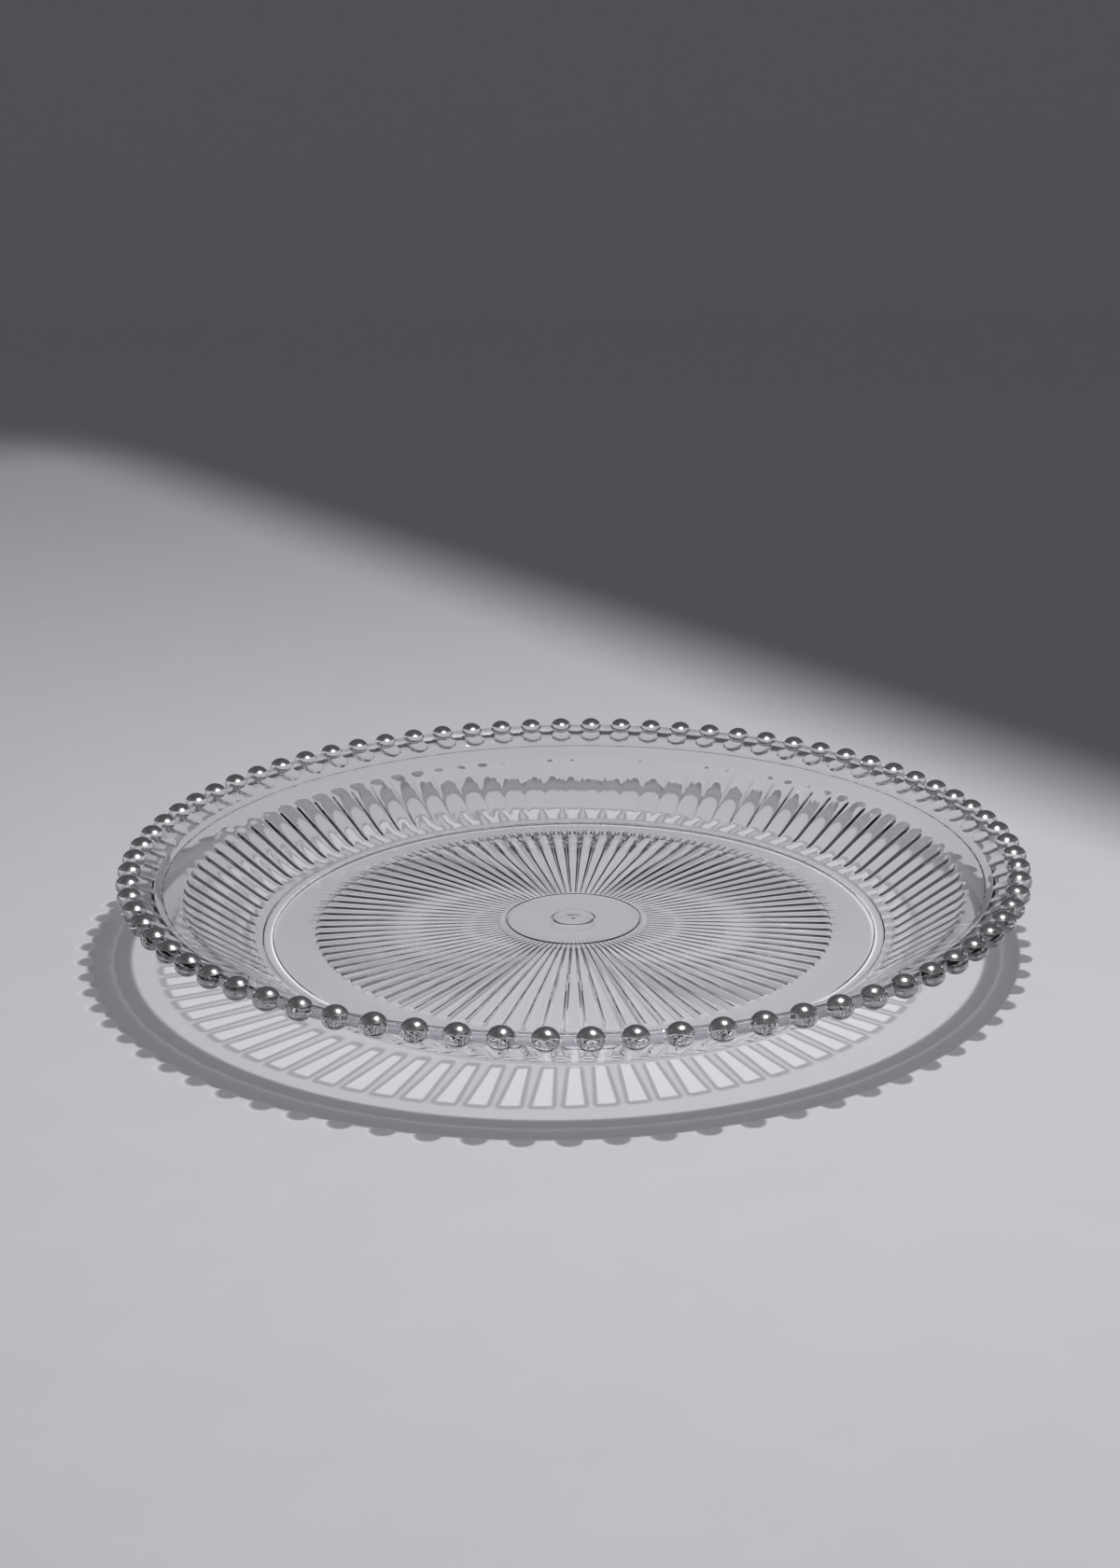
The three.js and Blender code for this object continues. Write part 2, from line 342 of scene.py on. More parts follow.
# %% Flutes and rays in the shadow
BAR_START, BAR_END = 114.0, 138.6
BAR_SHARES = (0.16, 0.26)
BAR_OUTLINE = 0.2
BAR_TIPS = (3.6, 3.0)
BAR_BRIGHT, BAR_DARK, BAR_GAP = 1.08, 0.55, 0.86
BAR_EDGE, BAR_LINE, BAR_FADE = 0.06, 0.5, 1.3
BAR_MARGIN = 2.0
off_bar = off_middle(landing_turn, RIB_COUNT, math.pi / RIB_COUNT)
bar_share = spread(tree, bar_radius, BAR_START, BAR_END, *BAR_SHARES)
past_side = calculate(tree, "DIVIDE", calculate(tree, "SUBTRACT", off_bar, bar_share), BAR_OUTLINE)
past_inner = calculate(tree, "DIVIDE", calculate(tree, "SUBTRACT", BAR_START, bar_radius), BAR_TIPS[0])
past_outer = calculate(tree, "DIVIDE", calculate(tree, "SUBTRACT", bar_radius, BAR_END), BAR_TIPS[1])
past_tip = calculate(tree, "MAXIMUM", calculate(tree, "MAXIMUM", past_inner, past_outer), 0.0)
past_side = calculate(tree, "MAXIMUM", past_side, 0.0)
past_bar = sum_of_squares(tree, past_side, past_tip)
on_bar = spread(tree, past_bar, 0.0, BAR_EDGE, BAR_BRIGHT, BAR_DARK)
off_bar_light = spread(tree, past_bar, BAR_LINE, BAR_FADE, BAR_DARK, BAR_GAP)
bar_light = where(calculate(tree, "GREATER_THAN", past_bar, BAR_LINE), on_bar, off_bar_light)
in_bars = calculate(tree, "GREATER_THAN", from_axis, FLUTE_START - BAR_MARGIN)
RAY_BRIGHT, RAY_DARK = 1.13, 0.6
RAY_LINE, RAY_LINE_HALF, RAY_LINE_CORE = 0.41, 0.06, 0.036
RAY_MARGIN = 1.0
off_ray = off_middle(turn, RIB_COUNT, math.pi / RIB_COUNT)
off_line = calculate(tree, "ABSOLUTE", calculate(tree, "SUBTRACT", off_ray, RAY_LINE))
ray_light = spread(tree, off_line, RAY_LINE_CORE, RAY_LINE_HALF, RAY_DARK, RAY_BRIGHT)
in_rays = calculate(
    tree,
    "MULTIPLY",
    calculate(tree, "LESS_THAN", from_axis, RAY_END - RAY_MARGIN),
    calculate(tree, "GREATER_THAN", from_axis, RAY_START),
)
print("flutes and rays ready")

# %% Beads in the shadow
BEAD_DARK, BEAD_BRIGHT = 0.34, 1.2
BEAD_GLOW = (0.8, 0.97)
bead_rim_light = spread(tree, from_bead, *BEAD_GLOW, BEAD_DARK, BEAD_BRIGHT)
outside_edge = calculate(tree, "GREATER_THAN", from_axis, EDGE_RADIUS)
print("beads ready")

# %% Light by ring, and the finished glass
RING_LIGHT = [
    (0.0, 1.0), (7.4, 1.0), (7.8, 0.7), (8.2, 1.0), (24.5, 1.0), (24.9, 0.65), (25.3, 1.0), (109.8, 1.0),
    (110.3, 1.7), (111.8, 1.7), (112.2, 1.0), (113.8, 1.0), (114.8, 0.8), (116.0, 1.1),
    (148.6, 1.1), (149.4, 0.33), (153.8, 0.29), (154.4, 0.52), (155.2, 0.33), (160.3, 0.29),
]
LAST_RING = 166.0
rings = add_node(tree, "ShaderNodeValToRGB", {0: calculate(tree, "DIVIDE", from_axis, LAST_RING)})
ramp = rings.color_ramp
while len(ramp.elements) < len(RING_LIGHT):
    ramp.elements.new(0.5)
for element, (radius, light) in zip(ramp.elements, RING_LIGHT):
    element.position = radius / LAST_RING
    element.color = (light, light, light, 1.0)

ribs_light = calculate(tree, "MULTIPLY", where(in_bars, 1.0, bar_light), where(in_rays, 1.0, ray_light))
crossing = calculate(tree, "MULTIPLY", rings.outputs["Color"], ribs_light)
# the rim's dark ring is paler at the back, where it is seen through the wall
RIM_START = 149.0
BACK_START, BACK_FULL, BACK_LIFT = 0.0, 0.35, 0.24
behind = spread(tree, calculate(tree, "SINE", turn), BACK_START, BACK_FULL, 0.0, BACK_LIFT)
on_rim = calculate(tree, "GREATER_THAN", from_axis, RIM_START)
crossing = calculate(tree, "MULTIPLY_ADD", on_rim, behind, crossing)
crossing = where(outside_edge, crossing, bead_rim_light)
leaving = add_node(tree, "ShaderNodeNewGeometry").outputs["Backfacing"]
passed = where(leaving, crossing, 1.0)
lamp_way = add_node(tree, "ShaderNodeBsdfTransparent", {"Color": passed}).outputs[0]
rays = add_node(tree, "ShaderNodeLightPath").outputs
inner_mix = add_node(
    tree, "ShaderNodeMixShader", {0: rays["Is Diffuse Ray"], 1: glass_shader.outputs["BSDF"], 2: lamp_way}
)
outer_mix = add_node(
    tree, "ShaderNodeMixShader", {0: rays["Is Shadow Ray"], 1: inner_mix.outputs[0], 2: lamp_way}
)
tree.links.new(outer_mix.outputs[0], output.inputs["Surface"])
print("glass finished,", len(tree.nodes), "nodes")

# %% [markdown]
# ## The section of the plate
# A plate is a section turned round an axis. The section is walked once, from the middle of the
# underside out to the edge and back over the top to the middle. Each of its points also says what the
# pattern does there. For a flute that is how far it stands out, how near its tip is (0 along the
# flute, 1 at its tip) and how wide it is. For a ray it is the depth of the valley.

# %% Steps of the walk
section_points = []
section_flutes = []
section_valleys = []
NO_FLUTE = (0.0, 1.0, 0.4)
TIP_STEPS = (1.0, 0.88, 0.68, 0.38, 0.0)
MIDDLE_STEPS = 2


def walk(points, flute=NO_FLUTE, valley=0.0):
    """Adds points (radius, height) to the section, all with the same pattern."""
    for point in points:
        section_points.append(point)
        section_flutes.append(flute)
        section_valleys.append(valley)


def stations(start, end, tips):
    """Radii under a row of ribs with the nearness of a tip at each, closer together at the tips."""
    inner, outer = start + tips[0], end - tips[1]
    spots = [(inner - tips[0] * tip, tip) for tip in TIP_STEPS]
    for i in range(1, MIDDLE_STEPS + 1):
        spots.append((inner + (outer - inner) * i / (MIDDLE_STEPS + 1), 0.0))
    return spots + [(outer + tips[1] * tip, tip) for tip in reversed(TIP_STEPS)]


def between(ends, start, end, radius):
    """A value that changes evenly from the start of a row to its end."""
    return ends[0] + (ends[1] - ends[0]) * (radius - start) / (end - start)


print("ready to walk the section")

# %% [markdown]
# ## Walking the section
# The wall's slope is worked out so that it leaves the cove as a tangent and ends at the top of the wall.
# The underside of the wall is the same line, one wall thickness lower. On the top, a fine groove runs
# round the disc and another round the button, and the button has a shallow dish with a small nub in it.
# Some points on the straight stretches only keep the faces short.

# %% Underside of the section
cove_lift = WALL_TOP - WELL_TOP - COVE_RADIUS
wall_run = WALL_RADIUS - WELL_RADIUS
wall_angle = math.asin(COVE_RADIUS / math.hypot(wall_run, cove_lift)) + math.atan2(cove_lift, wall_run)
wall_slope = math.tan(wall_angle)


def wall_under(radius):
    """Height of the wall's underside."""
    return WALL_TOP - WALL_THICKNESS / math.cos(wall_angle) - (WALL_RADIUS - radius) * wall_slope


def flange_top(radius):
    """Height of the rim's top."""
    return WALL_TOP + (radius - WALL_RADIUS) * FLANGE_SLOPE


def flange_under(radius):
    """Height of the rim's underside, before it thickens."""
    return flange_top(radius) - FLANGE_THICKNESS


wall_foot = WALL_RADIUS - (wall_under(WALL_RADIUS) - FOOT_HEIGHT) / wall_slope
INNER_CORNER, OUTER_CORNER = 0.3, 0.25
FOOT_ROUND, FOOT_BEVEL = 0.4, 0.12
FILLET, FILLET_LIFT = 1.2, 0.12
RIM_UNDERSIDE = [
    (150.3, 23.85), (150.8, 24.05), (152.4, 24.85), (153.0, 25.25),
    (153.8, 26.25), (154.6, 26.75), (157.5, 27.5),
]
EDGE_UNDERSIDE = [(159.2, 27.85), (159.9, 28.1), (160.2, 28.5), (EDGE_RADIUS, 29.1)]

# the flat middle, the rays and the plain ring
walk([(0.0, FOOT_HEIGHT), (14.0, FOOT_HEIGHT)])
for radius, tip in stations(RAY_START, RAY_END, RAY_ENDS):
    depth = between(RAY_DEPTHS, RAY_START, RAY_END, radius) * (1 - tip * tip)
    walk([(radius, FOOT_HEIGHT)], valley=depth)
walk([(102.0, FOOT_HEIGHT), (WELL_RADIUS - INNER_CORNER, FOOT_HEIGHT)])
walk([(WELL_RADIUS, FOOT_HEIGHT - INNER_CORNER)])

# the foot ring, with its corners rounded
walk([(WELL_RADIUS, FOOT_ROUND), (WELL_RADIUS + FOOT_BEVEL, FOOT_BEVEL), (WELL_RADIUS + FOOT_ROUND, 0.0)])
walk([(FOOT_RADIUS - FOOT_ROUND, 0.0), (FOOT_RADIUS - FOOT_BEVEL, FOOT_BEVEL), (FOOT_RADIUS, FOOT_ROUND)])
walk([(FOOT_RADIUS, FOOT_HEIGHT - OUTER_CORNER), (FOOT_RADIUS + OUTER_CORNER, FOOT_HEIGHT)])

# the wall with its flutes, and the rim
corner_start, corner_end = wall_foot - 0.3 * FILLET, wall_foot + 0.3 * FILLET
walk([(wall_foot - FILLET, FOOT_HEIGHT), (corner_start, FOOT_HEIGHT + FILLET_LIFT)])
walk([(corner_end, wall_under(corner_end) + FILLET_LIFT)])
for radius, tip in stations(FLUTE_START, FLUTE_END, FLUTE_TIPS):
    limit = between(FLUTE_LIMITS, FLUTE_START, FLUTE_END, radius)
    walk([(radius, wall_under(radius))], flute=(FLUTE_HEIGHT, tip, limit))
walk([(radius, flange_under(radius)) for radius in (144.6, 148.9, 149.4)])
walk(RIM_UNDERSIDE + EDGE_UNDERSIDE)
print("underside:", len(section_points), "points, wall at", round(math.degrees(wall_angle), 1), "degrees")

# %% Top of the section
EDGE_TOP = [(EDGE_RADIUS, 30.3), (160.2, 30.9), (159.9, 31.45), (159.45, 31.88)]
BEND_DROP = 0.03
COVE_STEPS = 7
walk(EDGE_TOP)
walk([(CREST_RADIUS, flange_top(CREST_RADIUS) - BEND_DROP)])
walk([(radius, flange_top(radius)) for radius in (158.2, 157.0, 150.0, 143.4)])
walk([(WALL_RADIUS, WALL_TOP - BEND_DROP)])
walk([(radius, WALL_TOP - (WALL_RADIUS - radius) * wall_slope) for radius in (141.0, 131.0)])
for i in range(COVE_STEPS, -1, -1):
    angle = wall_angle * i / COVE_STEPS
    lift = COVE_RADIUS * (1 - math.cos(angle))
    walk([(WELL_RADIUS + COVE_RADIUS * math.sin(angle), WELL_TOP + lift)])
walk([(radius, WELL_TOP) for radius in (WELL_RADIUS - 2.0, 80.0, DISC_RADIUS + 1.2)])


def groove(radius, outer_level, inner_level):
    """Section of a fine groove round the axis, between two levels."""
    bottom = outer_level - GROOVE_DEPTH
    third = GROOVE_HALF / 3
    return [
        (radius + GROOVE_HALF, outer_level),
        (radius + third, bottom),
        (radius - third, bottom),
        (radius - GROOVE_HALF, inner_level),
    ]


walk(groove(DISC_RADIUS, WELL_TOP, DISC_TOP))
walk([(DISC_RADIUS - 1.2, DISC_TOP), (BUTTON_RADIUS + 1.0, DISC_TOP)])
walk(groove(BUTTON_RADIUS, DISC_TOP, BUTTON_TOP))
dish_bottom = BUTTON_TOP - DISH_DEPTH
walk([(5.5, BUTTON_TOP), (DISH_RADIUS, BUTTON_TOP), (DISH_RADIUS - 0.5, BUTTON_TOP - 0.5 * DISH_DEPTH)])
walk([(1.5, dish_bottom), (1.0, dish_bottom), (0.7, NUB_TOP - 0.05), (0.4, NUB_TOP), (0.0, NUB_TOP)])
print("whole section:", len(section_points), "points")

# %% [markdown]
# ## A geometry tree that presses the plate
# The tree starts from a flat grid with one column for each step round the plate and one row for each
# point of the section. Every grid point looks up its row's section point, moves it outwards by as much
# rib as there is at its angle, and turns it to that angle. Columns crowd together in the valleys, where
# the surface bends most. Then the beads and their lobes are put on their circle and joined to the plate
# with a union, so that the glass is one body with no walls inside, as in the real moulding.

# %% Geometry tree of the plate
plate_inputs = [
    ("Ribs", "NodeSocketInt", RIB_COUNT),
    ("Steps per rib", "NodeSocketInt", STEPS_PER_RIB),
    ("Crowding", "NodeSocketFloat", CROWDING),
    ("Ray bend", "NodeSocketFloat", RAY_BEND),
    ("Ray share", "NodeSocketFloat", RAY_SHARE),
    ("Beads", "NodeSocketInt", BEAD_COUNT),
    ("Bead circle", "NodeSocketFloat", BEAD_CIRCLE * MM),
    ("Bead height", "NodeSocketFloat", BEAD_CENTRE * MM),
    ("Bead turn", "NodeSocketFloat", BEAD_TURN),
    ("Bead half width", "NodeSocketFloat", (BEAD_HALF_WIDTH - SILVER_THICKNESS) * MM),
    ("Bead half height", "NodeSocketFloat", (BEAD_HALF_HEIGHT - SILVER_THICKNESS) * MM),
    ("Lobe place", "NodeSocketVector", [value * MM for value in LOBE_PLACE]),
    ("Lobe size", "NodeSocketVector", [value * MM for value in LOBE_SIZE]),
    ("Lobe lean", "NodeSocketFloat", LOBE_LEAN),
    ("Material", "NodeSocketMaterial", glass),
]
press = bpy.data.node_groups.new("press_plate", "GeometryNodeTree")
add_inputs(press, plate_inputs)
given = add_node(press, "NodeGroupInput").outputs
section_in = given["Geometry"]

# grid of columns and rows; a quarter is added to a number before a division is rounded down
QUARTER = 0.25
columns = calculate(press, "MULTIPLY", given["Ribs"], given["Steps per rib"])
rows = add_node(press, "GeometryNodeAttributeDomainSize", {0: section_in}).outputs["Point Count"]
grid = add_node(
    press,
    "GeometryNodeMeshGrid",
    {"Vertices X": calculate(press, "ADD", columns, 1.0), "Vertices Y": rows},
).outputs["Mesh"]
index = add_node(press, "GeometryNodeInputIndex").outputs[0]
row = calculate(press, "MODULO", index, rows)
column = calculate(press, "FLOOR", calculate(press, "DIVIDE", calculate(press, "ADD", index, QUARTER), rows))


def look_up(value):
    """Reads a vector of the section at this grid point's row."""
    return add_node(
        press,
        "GeometryNodeSampleIndex",
        {"Geometry": section_in, "Value": value, "Index": row},
        data_type="FLOAT_VECTOR",
        domain="POINT",
    ).outputs[0]


def parts_of(vector):
    """The three numbers in a vector."""
    return add_node(press, "ShaderNodeSeparateXYZ", {0: vector}).outputs


def section_values(name):
    """A named vector of the section."""
    return add_node(
        press, "GeometryNodeInputNamedAttribute", {"Name": name}, data_type="FLOAT_VECTOR"
    ).outputs["Attribute"]


point = parts_of(look_up(add_node(press, "GeometryNodeInputPosition").outputs[0]))
outward = parts_of(look_up(section_values("outward")))
flute = parts_of(look_up(section_values("flute")))
valley = parts_of(look_up(section_values("valley")))

# place of this column across its rib: -1 and 1 in the valleys, 0 on the crest
rib_number = calculate(
    press,
    "FLOOR",
    calculate(press, "DIVIDE", calculate(press, "ADD", column, QUARTER), given["Steps per rib"]),
)
step_in_rib = calculate(
    press, "SUBTRACT", column, calculate(press, "MULTIPLY", rib_number, given["Steps per rib"])
)
even = calculate(
    press,
    "SUBTRACT",
    calculate(press, "DIVIDE", calculate(press, "MULTIPLY", step_in_rib, 2.0), given["Steps per rib"]),
    1.0,
)
from_valley = calculate(press, "SUBTRACT", 1.0, calculate(press, "ABSOLUTE", even))
across = calculate(
    press,
    "MULTIPLY",
    calculate(press, "SIGN", even),
    calculate(press, "SUBTRACT", 1.0, calculate(press, "POWER", from_valley, given["Crowding"])),
)
angle = calculate(
    press,
    "MULTIPLY",
    calculate(press, "ADD", rib_number, calculate(press, "MULTIPLY_ADD", across, 0.5, 0.5)),
    calculate(press, "DIVIDE", math.tau, given["Ribs"]),
)

# a flute is round across and at its tips
off_centre = calculate(press, "ABSOLUTE", across)
side = calculate(
    press, "DIVIDE", calculate(press, "MULTIPLY", off_centre, 0.5), flute[2], clamp=True
)
roundness = calculate(
    press, "SUBTRACT", 1.0, sum_of_squares(press, side, flute[1]), clamp=True
)

# a ray falls gently to its bend, and then steeply into a valley with a round bottom
to_bend = calculate(
    press, "DIVIDE", calculate(press, "MINIMUM", off_centre, given["Ray bend"]), given["Ray bend"]
)
from_bottom = calculate(
    press,
    "DIVIDE",
    calculate(press, "SUBTRACT", 1.0, off_centre),
    calculate(press, "SUBTRACT", 1.0, given["Ray bend"]),
    clamp=True,
)
steep_part = calculate(press, "SUBTRACT", 1.0, calculate(press, "MULTIPLY", from_bottom, from_bottom))
dip = calculate(
    press,
    "MULTIPLY_ADD",
    given["Ray share"],
    to_bend,
    calculate(press, "MULTIPLY", calculate(press, "SUBTRACT", 1.0, given["Ray share"]), steep_part),
)
stand_out = calculate(
    press,
    "SUBTRACT",
    calculate(press, "MULTIPLY", flute[0], roundness),
    calculate(press, "MULTIPLY", valley[0], dip),
)
radius = calculate(press, "MULTIPLY_ADD", outward[0], stand_out, point[0])
height = calculate(press, "MULTIPLY_ADD", outward[2], stand_out, point[2])
pressed_point = add_node(
    press,
    "ShaderNodeCombineXYZ",
    {
        0: calculate(press, "MULTIPLY", radius, calculate(press, "COSINE", angle)),
        1: calculate(press, "MULTIPLY", radius, calculate(press, "SINE", angle)),
        2: height,
    },
).outputs[0]
SEAM_GAP = 1e-6
bent = add_node(press, "GeometryNodeSetPosition", {"Geometry": grid, "Position": pressed_point}).outputs[0]
closed = add_node(
    press, "GeometryNodeMergeByDistance", {"Geometry": bent, "Distance": SEAM_GAP}
).outputs[0]
print("press_plate:", len(press.nodes), "nodes so far")

# %% Beads and the union


def ring_of_points(tree, count, circle, lift, turn):
    """Points on a level circle, the first one at the given turn."""
    ring = add_node(tree, "GeometryNodeMeshCircle", {"Vertices": count, "Radius": circle}).outputs[0]
    return add_node(
        tree,
        "GeometryNodeTransform",
        {
            "Geometry": ring,
            "Translation": add_node(tree, "ShaderNodeCombineXYZ", {2: lift}).outputs[0],
            "Rotation": add_node(tree, "ShaderNodeCombineXYZ", {2: turn}).outputs[0],
        },
    ).outputs[0]


def unit_ball(segments, rings):
    """A ball with a radius of one."""
    return add_node(
        press, "GeometryNodeMeshUVSphere", {"Segments": segments, "Rings": rings, "Radius": 1.0}
    ).outputs["Mesh"]


bead_size = add_node(
    press,
    "ShaderNodeCombineXYZ",
    {0: given["Bead half width"], 1: given["Bead half width"], 2: given["Bead half height"]},
).outputs[0]
bead_places = ring_of_points(
    press, given["Beads"], given["Bead circle"], given["Bead height"], given["Bead turn"]
)
bead_string = add_node(
    press,
    "GeometryNodeInstanceOnPoints",
    {"Points": bead_places, "Instance": unit_ball(segments=16, rings=12), "Scale": bead_size},
).outputs[0]
beads = add_node(press, "GeometryNodeRealizeInstances", {0: bead_string}).outputs[0]

# one lobe is leaned and moved out along X, and then turned to each bead
lobe = add_node(
    press,
    "GeometryNodeTransform",
    {
        "Geometry": unit_ball(segments=12, rings=8),
        "Translation": given["Lobe place"],
        "Rotation": add_node(press, "ShaderNodeCombineXYZ", {1: given["Lobe lean"]}).outputs[0],
        "Scale": given["Lobe size"],
    },
).outputs[0]


def turned_to_beads(tree, beads_given, turn_given):
    """The turn of each bead round the plate, from its number."""
    number = add_node(tree, "GeometryNodeInputIndex").outputs[0]
    step = calculate(tree, "DIVIDE", math.tau, beads_given)
    facing = calculate(tree, "MULTIPLY_ADD", number, step, turn_given)
    euler = add_node(tree, "ShaderNodeCombineXYZ", {2: facing}).outputs[0]
    return add_node(tree, "FunctionNodeEulerToRotation", {0: euler}).outputs[0]


axis_points = add_node(
    press, "GeometryNodeMeshCircle", {"Vertices": given["Beads"], "Radius": 0.0}
).outputs[0]
lobe_ring = add_node(
    press,
    "GeometryNodeInstanceOnPoints",
    {
        "Points": axis_points,
        "Instance": lobe,
        "Rotation": turned_to_beads(press, given["Beads"], given["Bead turn"]),
    },
).outputs[0]
lobes = add_node(press, "GeometryNodeRealizeInstances", {0: lobe_ring}).outputs[0]
union = add_node(press, "GeometryNodeMeshBoolean", operation="UNION", solver="MANIFOLD")
for body in (closed, beads, lobes):
    press.links.new(body, union.inputs["Mesh 2"])
realized = add_node(press, "GeometryNodeRealizeInstances", {0: union.outputs["Mesh"]}).outputs[0]
finished = add_node(
    press, "GeometryNodeSetMaterial", {"Geometry": realized, "Material": given["Material"]}
).outputs[0]
add_node(press, "NodeGroupOutput", {0: finished})
print("press_plate:", len(press.nodes), "nodes")

# %% [markdown]
# ## Pressing the plate
# The section becomes a line of points with named vectors, which the tree reads.
# After the tree has run once, its result is kept as a plain mesh. Edges that turn sharply, such as the
# corners of the foot and the line round each bead, are kept crisp, and everything else is shaded smooth.

# %% Make the glass body


def outward_at(i):
    """Direction out of the glass at a section point, from its neighbours."""
    before = section_points[max(i - 1, 0)]
    after = section_points[min(i + 1, len(section_points) - 1)]
    along_radius, along_height = after[0] - before[0], after[1] - before[1]
    length = math.hypot(along_radius, along_height)
    return (along_height / length, 0.0, -along_radius / length)


section_mesh = bpy.data.meshes.new("plate_section")
section_mesh.from_pydata(
    [(radius * MM, 0.0, height * MM) for radius, height in section_points],
    [(i, i + 1) for i in range(len(section_points) - 1)],
    [],
)
outward_data = section_mesh.attributes.new("outward", "FLOAT_VECTOR", "POINT")
flute_data = section_mesh.attributes.new("flute", "FLOAT_VECTOR", "POINT")
valley_data = section_mesh.attributes.new("valley", "FLOAT_VECTOR", "POINT")
for i, (flute_height, tip, limit) in enumerate(section_flutes):
    outward_data.data[i].vector = outward_at(i)
    flute_data.data[i].vector = (flute_height * MM, tip, limit)
    valley_data.data[i].vector = (section_valleys[i] * MM, 0.0, 0.0)

section_object = bpy.data.objects.new("plate_section", section_mesh)
scene.collection.objects.link(section_object)
pressing = section_object.modifiers.new("press", "NODES")
pressing.node_group = press
set_inputs(pressing, plate_inputs)
CRISP_ANGLE = math.radians(38)
plate_glass = plain_mesh_object(section_object, "plate_glass")
plate_glass.data.shade_smooth()
plate_glass.data.set_sharp_from_angle(angle=CRISP_ANGLE)
plate_glass.data.calc_loop_triangles()
print("plate_glass:", len(plate_glass.data.loop_triangles), "triangles")

# %% [markdown]
# ## Silver
# The tops of the beads carry a bright silver coating. It mirrors the room, so it looks dark with one
# bright spot of lamp light. A soft noise varies its shine, and towards the edge of each patch the coat is
# thinner and a little duller, which an attribute stored on the patch tells the material.

# %% Silver material
SILVER_TONE = (0.80, 0.80, 0.81, 1.0)
THIN_TONE = (0.62, 0.62, 0.64, 1.0)
SILVER_ROUGHNESS = (0.17, 0.26)
THIN_ROUGHNESS = 0.12
THIN_START = 0.8
GRAIN_SCALE = 900.0
GRAIN_LEVELS = (0.3, 0.7)
silver, tree, place, output = new_material("bright_silver_coat")
edge = add_node(tree, "ShaderNodeAttribute", attribute_name="patch_edge").outputs["Fac"]
grain = noise(tree, place, GRAIN_SCALE, detail=3.0)
thin_edge = spread(tree, edge, THIN_START, 1.0, 0.0, 1.0)
grain_roughness = spread(tree, grain, *GRAIN_LEVELS, *SILVER_ROUGHNESS)
roughness = calculate(tree, "MULTIPLY_ADD", thin_edge, THIN_ROUGHNESS, grain_roughness)
tone = add_node(
    tree,
    "ShaderNodeMix",
    {0: thin_edge, 6: SILVER_TONE, 7: THIN_TONE},
    data_type="RGBA",
).outputs[2]
silver_shader = add_node(
    tree,
    "ShaderNodeBsdfPrincipled",
    {"Base Color": tone, "Metallic": 1.0, "Roughness": roughness},
)
tree.links.new(silver_shader.outputs["BSDF"], output.inputs["Surface"])
print("material:", silver.name)

# %% [markdown]
# ## One patch of silver, repeated
# A patch is a thin closed shell over the top of a bead: an outer skin just above the glass and an inner
# skin just inside it, so that no gap shows between them. One patch is made as a small mesh, and a
# geometry tree sets it on every bead.

# %% One silver patch
PATCH_REACH = math.radians(60)
PATCH_SIDES = 20
PATCH_RINGS = 6
OUTER_SKIN, INNER_SKIN = 0.01, 2.2 * SILVER_THICKNESS


def patch_point(reach, around, shrink):
    """A point on the bead: reach from the patch's middle, angle around it, and how far inside."""
    up = Vector((math.sin(reach) * math.cos(around), math.sin(reach) * math.sin(around), math.cos(reach)))
    return (
        up.x * (BEAD_HALF_WIDTH - shrink) * MM,
        up.y * (BEAD_HALF_WIDTH - shrink) * MM,
        up.z * (BEAD_HALF_HEIGHT - shrink) * MM,
    )


patch_points, patch_faces, patch_edge = [], [], []
for shrink in (OUTER_SKIN, INNER_SKIN):
    patch_points.append(patch_point(0.0, 0.0, shrink))
    patch_edge.append(0.0)
    for ring in range(1, PATCH_RINGS + 1):
        for side_number in range(PATCH_SIDES):
            around = math.tau * side_number / PATCH_SIDES
            patch_points.append(patch_point(PATCH_REACH * ring / PATCH_RINGS, around, shrink))
            patch_edge.append(ring / PATCH_RINGS)
inner_start = len(patch_points) // 2


def ring_point(skin, ring, side_number):
    """Number of a point of the patch: outer skin 0 or inner skin 1."""
    return skin * inner_start + 1 + (ring - 1) * PATCH_SIDES + side_number % PATCH_SIDES


for k in range(PATCH_SIDES):
    patch_faces.append((0, ring_point(0, 1, k), ring_point(0, 1, k + 1)))
    patch_faces.append((inner_start, ring_point(1, 1, k + 1), ring_point(1, 1, k)))
    for ring in range(1, PATCH_RINGS):
        outer = [(0, ring, k), (0, ring + 1, k), (0, ring + 1, k + 1), (0, ring, k + 1)]
        inner = [(1, ring, k), (1, ring, k + 1), (1, ring + 1, k + 1), (1, ring + 1, k)]
        patch_faces += [[ring_point(*corner) for corner in face] for face in (outer, inner)]
    last = PATCH_RINGS
    border = [(0, last, k), (1, last, k), (1, last, k + 1), (0, last, k + 1)]
    patch_faces.append([ring_point(*corner) for corner in border])
patch_mesh = bpy.data.meshes.new("one_patch")
patch_mesh.from_pydata(patch_points, [], patch_faces)
patch_data = patch_mesh.attributes.new("patch_edge", "FLOAT", "POINT")
for i, value in enumerate(patch_edge):
    patch_data.data[i].value = value
print("one patch:", len(patch_faces), "faces")

